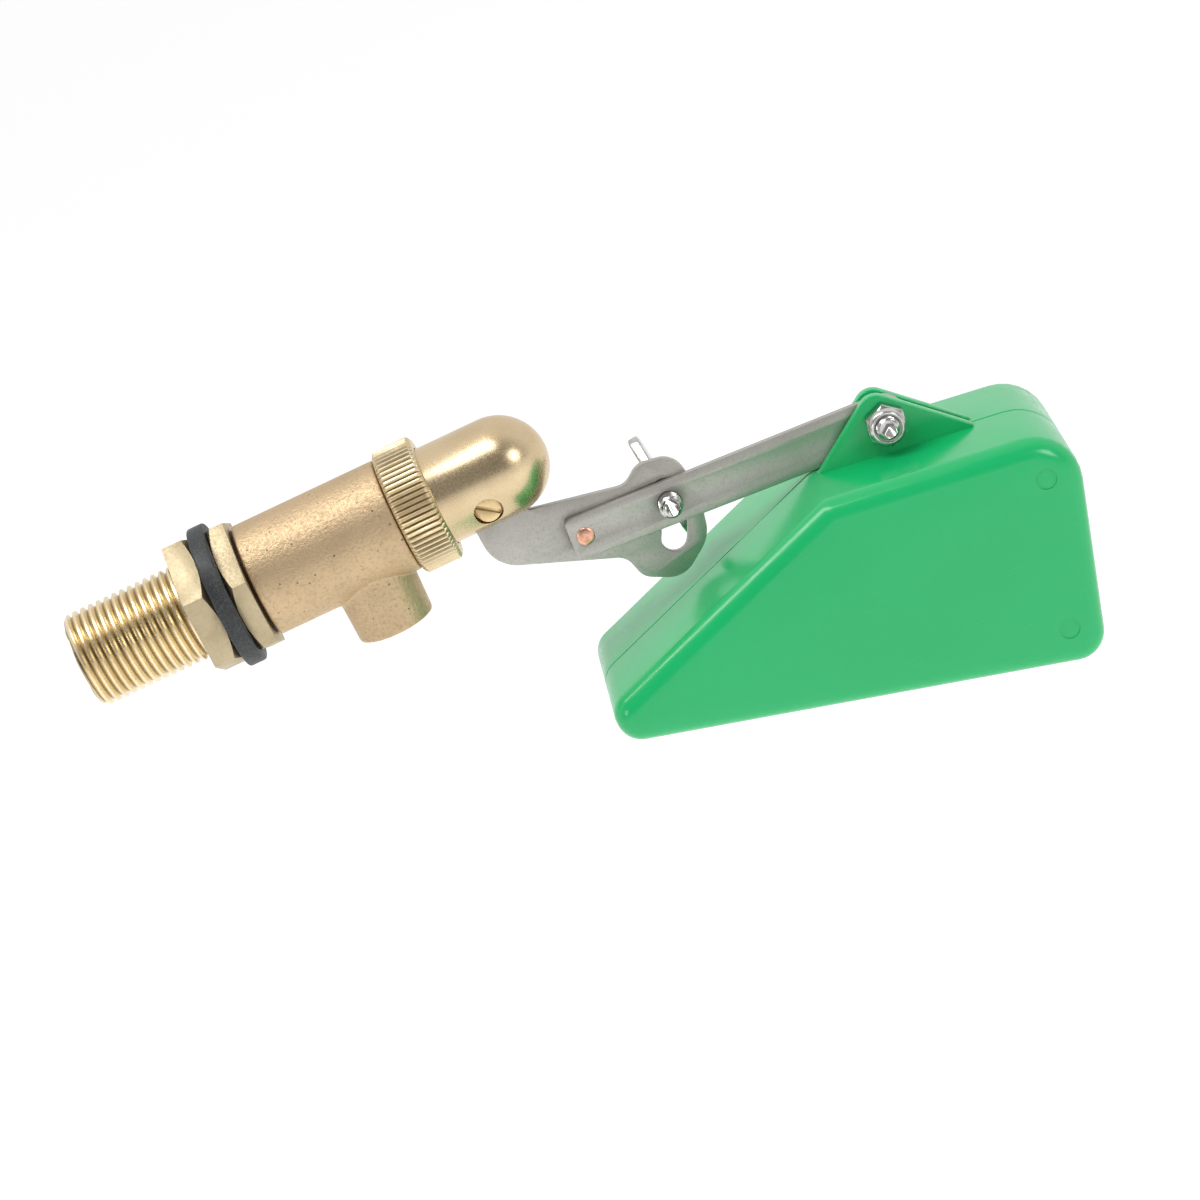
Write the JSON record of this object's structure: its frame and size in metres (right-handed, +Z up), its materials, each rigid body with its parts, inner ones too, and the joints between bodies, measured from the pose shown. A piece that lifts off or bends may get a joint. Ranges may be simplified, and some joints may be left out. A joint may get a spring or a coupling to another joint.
{
  "type": "float valve",
  "caption": "Threaded tank float valve with a bottom outlet, a knurled bonnet nut, an adjustable sheet-metal lever and a wedge-shaped plastic float.",
  "frame": {"origin": "on the valve's axis, in the face of the hex flange that seals against the tank wall", "axes": "+X along the valve's axis from the inlet thread to the bonnet, +Z up with the outlet spout pointing down, +Y towards the wing screw's wings"},
  "size_m": [0.2061, 0.053, 0.1004],
  "materials": {
    "cast_brass": "blasted casting, machined thread and faces",
    "turned_brass": "machined",
    "satin_brass": "satin",
    "stainless": "rolled and tumbled",
    "bright_stainless": "bright",
    "copper": "bright copper",
    "black_rubber": "matt",
    "green_plastic": "gloss moulded",
    "white_nylon": "matt moulded"
  },
  "bodies": {
    "body": {"body_casting": "cast_brass", "seat_nozzle": "white_nylon", "seat_o_ring": "black_rubber", "tank_washer": "black_rubber", "bonnet_seal": "black_rubber"},
    "locknut": {"locknut": "turned_brass"},
    "union_nut": {"union_nut": "turned_brass"},
    "bonnet": {"bonnet": "satin_brass", "pivot_pin": "turned_brass"},
    "piston": {"piston": "turned_brass", "piston_seal": "black_rubber"},
    "lever": {"lever_plate": "stainless", "arm_rivet": "copper"},
    "arm": {"lever_arm": "stainless"},
    "wing_screw": {"wing_screw": "bright_stainless"},
    "float": {"float_shell_front": "green_plastic", "float_shell_back": "green_plastic", "float_bolt": "bright_stainless", "float_nut": "bright_stainless", "float_nut_insert": "white_nylon"}
  },
  "joints": [
    {"name": "locknut_travel", "type": "slide", "parent": "body", "child": "locknut", "axis": [-1, 0, 0], "range_m": [0, 0.02]},
    {"name": "union_nut_turn", "type": "hinge", "parent": "body", "child": "union_nut", "pos_m": [0.0422, 0, 0], "axis": [1, 0, 0], "continuous": true},
    {"name": "bonnet_swivel", "type": "hinge", "parent": "body", "child": "bonnet", "pos_m": [0.0446, 0, 0], "axis": [1, 0, 0], "continuous": true},
    {"name": "lever_lift", "type": "hinge", "parent": "bonnet", "child": "lever", "pos_m": [0.0556, 0, -0.0056], "axis": [0, -1, 0], "range_deg": [0, 22]},
    {"name": "piston_stroke", "type": "slide", "parent": "bonnet", "child": "piston", "axis": [-1, 0, 0], "range_m": [0, 0.0023]},
    {"name": "arm_adjust", "type": "hinge", "parent": "lever", "child": "arm", "pos_m": [0.07126, 0, -0.0209], "axis": [0, -1, 0], "range_deg": [-25, 6]},
    {"name": "wing_screw_turn", "type": "hinge", "parent": "arm", "child": "wing_screw", "pos_m": [0.09017, 0, -0.02215], "axis": [0, 1, 0], "continuous": true},
    {"name": "float_tilt", "type": "hinge", "parent": "arm", "child": "float", "pos_m": [0.13811, 0, -0.02531], "axis": [0, -1, 0], "range_deg": [0, 60]}
  ],
  "couplings": [
    {"joint": "piston_stroke", "follows": "lever_lift", "m_per_rad": 0.0056}
  ]
}
